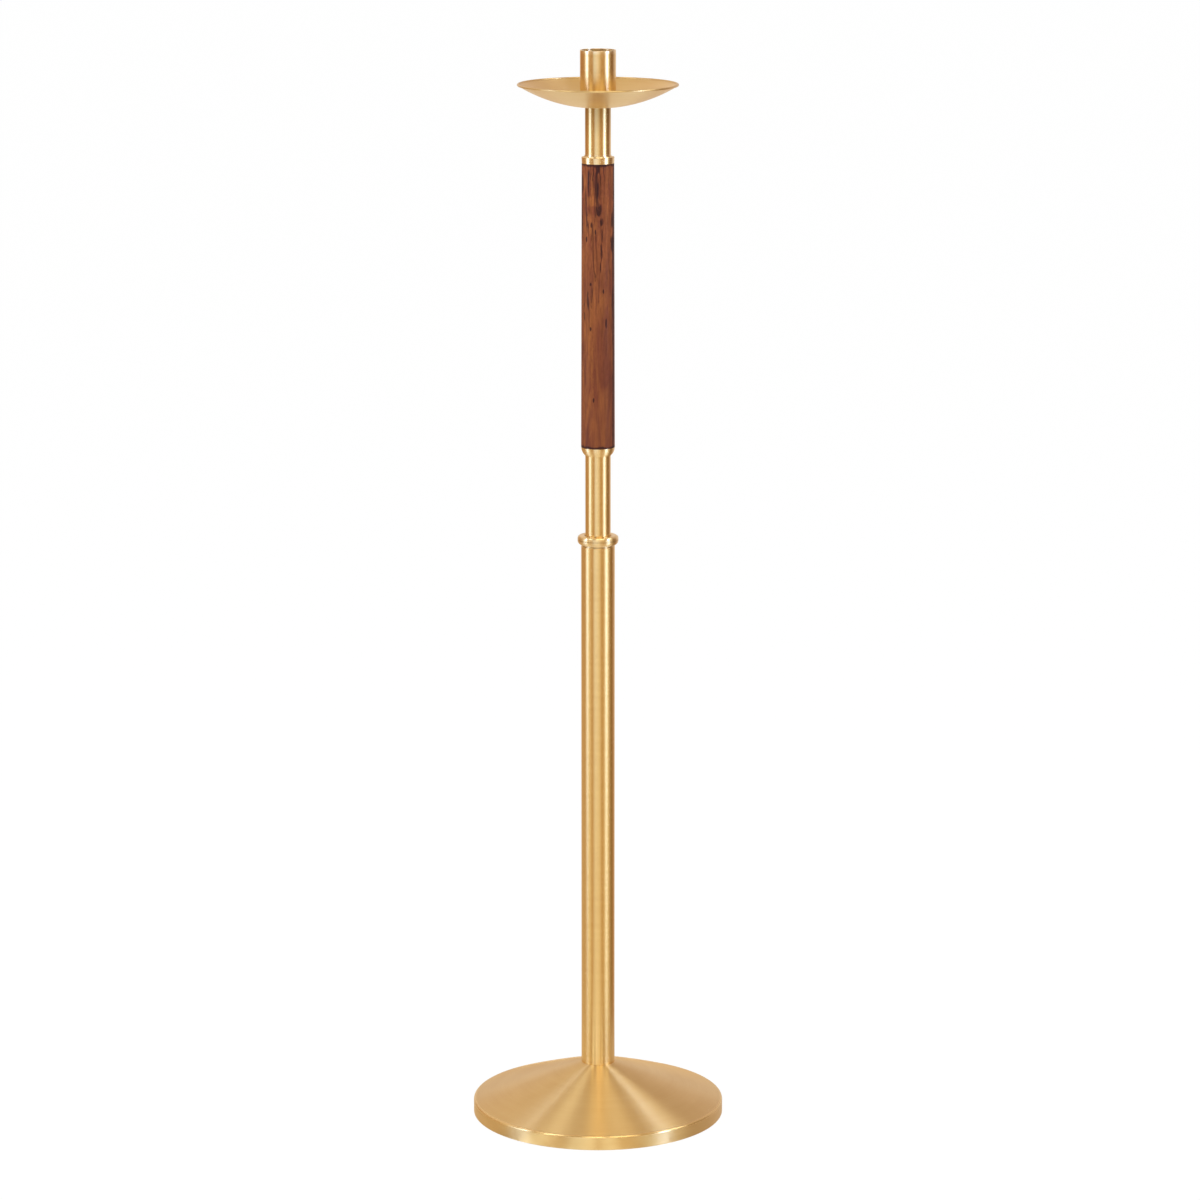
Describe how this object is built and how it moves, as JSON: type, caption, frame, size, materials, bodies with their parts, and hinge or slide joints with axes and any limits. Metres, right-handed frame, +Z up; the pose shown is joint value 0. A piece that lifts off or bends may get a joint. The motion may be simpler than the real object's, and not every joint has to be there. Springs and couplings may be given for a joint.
{
  "type": "processional torch",
  "caption": "Church processional torch: brass candle socket over a round drip pan, a wooden grip and a brass staff that lifts out of a tubular stand with a weighted cone base.",
  "frame": {"origin": "centre of the felt's underside, on the floor under the stand", "axes": "+Z up along the axis that every piece is turned about; +X to the right and -Y towards the front"},
  "size_m": [0.254, 0.254, 1.081],
  "materials": {
    "satin_brass": "satin, brushed and lacquered",
    "grip_wood": "satin lacquer",
    "cast_weight": "as cast, painted",
    "plain_steel": "zinc plated",
    "green_felt": "dense felt",
    "grey_felt": "dense felt",
    "white_nylon": "turned nylon",
    "tan_leather": "pressed leather"
  },
  "bodies": {
    "stand": {"base_cover": "satin_brass", "base_weight": "cast_weight", "base_plate": "plain_steel", "plate_screws": "plain_steel", "base_felt": "green_felt", "clamp_bolt": "plain_steel", "clamp_washer": "plain_steel", "lock_washer": "plain_steel", "foot_plug": "plain_steel", "stand_tube": "satin_brass", "mouth_ring": "satin_brass", "mouth_bush": "white_nylon", "seat_cup": "white_nylon"},
    "rest_pad": {"seat_pad": "grey_felt"},
    "torch": {"staff_tip": "satin_brass", "staff_tube": "satin_brass", "lower_ferrule": "satin_brass", "wood_grip": "grip_wood", "upper_ferrule": "satin_brass", "tie_rod": "plain_steel", "tie_washers": "plain_steel", "tie_nuts": "plain_steel", "neck_tube": "satin_brass", "neck_plug": "satin_brass"},
    "pan": {"drip_pan": "satin_brass", "socket_washer": "tan_leather"},
    "socket": {"candle_socket": "satin_brass", "socket_stud": "satin_brass"}
  },
  "joints": [
    {"name": "torch_turn", "type": "hinge", "parent": "stand", "child": "rest_pad", "pos_m": [0, 0, 0.4001], "axis": [0, 0, 1], "continuous": true},
    {"name": "torch_lift", "type": "slide", "parent": "rest_pad", "child": "torch", "axis": [0, 0, 1], "range_m": [0, 0.205]},
    {"name": "pan_rise", "type": "slide", "parent": "torch", "child": "pan", "axis": [0, 0, 1], "range_m": [0, 0.00937]},
    {"name": "socket_turn", "type": "hinge", "parent": "pan", "child": "socket", "pos_m": [0, 0, 1.02775], "axis": [0, 0, 1], "range_deg": [0, 2250]}
  ],
  "couplings": [
    {"joint": "socket_turn", "follows": "pan_rise", "rad_per_m": 4188.8}
  ]
}
